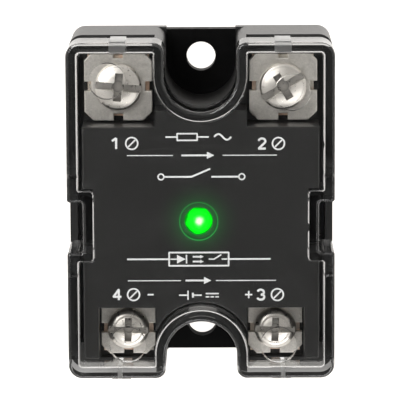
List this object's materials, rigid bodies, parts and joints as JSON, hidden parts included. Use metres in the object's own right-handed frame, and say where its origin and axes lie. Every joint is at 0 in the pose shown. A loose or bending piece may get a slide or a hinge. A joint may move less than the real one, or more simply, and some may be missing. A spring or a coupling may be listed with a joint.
{
  "type": "solid state relay",
  "caption": "Panel-mount solid state relay: flat black case on a metal base plate, clear clip-on guard, screw terminals and a round status lamp.",
  "frame": {"origin": "centre of the base plate mounting face", "axes": "+Z out of the front face, +Y towards the output terminals, +X to the right seen from the front"},
  "size_m": [0.0454, 0.0582, 0.0265],
  "materials": {
    "plate": "black anodised, fine grain",
    "seal": "matte",
    "case": "fine moulded texture with white terminal marks",
    "cover": "clear moulded plastic, polished",
    "ceramic": "matte",
    "copper": "rolled copper",
    "silicon": "polished",
    "pins": "tinned",
    "board": "solder mask",
    "chip_body": "moulded",
    "film_box": "moulded",
    "suppressor": "dipped coating",
    "resistor_body": "lacquered",
    "lamp": "lit green lens",
    "resin": "cast resin",
    "nickel_clamp": "nickel plated, stamped",
    "nickel_screw": "nickel plated, bright",
    "nickel_bar": "nickel plated brass",
    "zinc_nut": "zinc plated"
  },
  "bodies": {
    "case_body": {"base_plate": "plate", "base_seal": "seal", "bridge_rectifier": "chip_body", "ceramic_substrate": "ceramic", "circuit_board": "board", "copper_tracks": "copper", "driver_chip": "chip_body", "gate_pins": "pins", "housing": "case", "indicator_lamp": "lamp", "input_nut_left": "zinc_nut", "input_nut_right": "zinc_nut", "input_terminal_left": "nickel_bar", "input_terminal_right": "nickel_bar", "optocoupler": "chip_body", "output_nut_left": "zinc_nut", "output_nut_right": "zinc_nut", "output_terminal_left": "nickel_bar", "output_terminal_right": "nickel_bar", "potting_compound": "resin", "resistors": "resistor_body", "snubber_capacitor": "film_box", "surge_suppressor": "suppressor", "thyristor_chips": "silicon"},
    "cover": {"clear_cover": "cover"},
    "output_left_clamp_body": {"output_clamp_left": "nickel_clamp"},
    "output_left_screw_body": {"output_screw_left": "nickel_screw"},
    "output_right_clamp_body": {"output_clamp_right": "nickel_clamp"},
    "output_right_screw_body": {"output_screw_right": "nickel_screw"},
    "input_left_clamp_body": {"input_clamp_left": "nickel_clamp"},
    "input_left_screw_body": {"input_screw_left": "nickel_screw"},
    "input_right_clamp_body": {"input_clamp_right": "nickel_clamp"},
    "input_right_screw_body": {"input_screw_right": "nickel_screw"}
  },
  "joints": [
    {"name": "cover_lift", "type": "slide", "parent": "case_body", "child": "cover", "axis": [0, 0, 1], "range_m": [0, 0.02]},
    {"name": "output_left_clamp_rise", "type": "slide", "parent": "case_body", "child": "output_left_clamp_body", "axis": [0, 0, 1], "range_m": [0, 0.0035]},
    {"name": "output_left_screw_turn", "type": "hinge", "parent": "output_left_clamp_body", "child": "output_left_screw_body", "pos_m": [-0.01415, 0.02025, 0.0156], "axis": [0, 0, 1], "range_deg": [0, 1800]},
    {"name": "output_right_clamp_rise", "type": "slide", "parent": "case_body", "child": "output_right_clamp_body", "axis": [0, 0, 1], "range_m": [0, 0.0035]},
    {"name": "output_right_screw_turn", "type": "hinge", "parent": "output_right_clamp_body", "child": "output_right_screw_body", "pos_m": [0.01415, 0.02025, 0.0156], "axis": [0, 0, 1], "range_deg": [0, 1800]},
    {"name": "input_left_clamp_rise", "type": "slide", "parent": "case_body", "child": "input_left_clamp_body", "axis": [0, 0, 1], "range_m": [0, 0.003]},
    {"name": "input_left_screw_turn", "type": "hinge", "parent": "input_left_clamp_body", "child": "input_left_screw_body", "pos_m": [-0.01275, -0.0221, 0.0156], "axis": [0, 0, 1], "range_deg": [0, 1800]},
    {"name": "input_right_clamp_rise", "type": "slide", "parent": "case_body", "child": "input_right_clamp_body", "axis": [0, 0, 1], "range_m": [0, 0.003]},
    {"name": "input_right_screw_turn", "type": "hinge", "parent": "input_right_clamp_body", "child": "input_right_screw_body", "pos_m": [0.01275, -0.0221, 0.0156], "axis": [0, 0, 1], "range_deg": [0, 1800]}
  ],
  "couplings": [
    {"joint": "output_left_screw_turn", "follows": "output_left_clamp_rise", "rad_per_m": 8976},
    {"joint": "output_right_screw_turn", "follows": "output_right_clamp_rise", "rad_per_m": 8976},
    {"joint": "input_left_screw_turn", "follows": "input_left_clamp_rise", "rad_per_m": 10472},
    {"joint": "input_right_screw_turn", "follows": "input_right_clamp_rise", "rad_per_m": 10472}
  ]
}
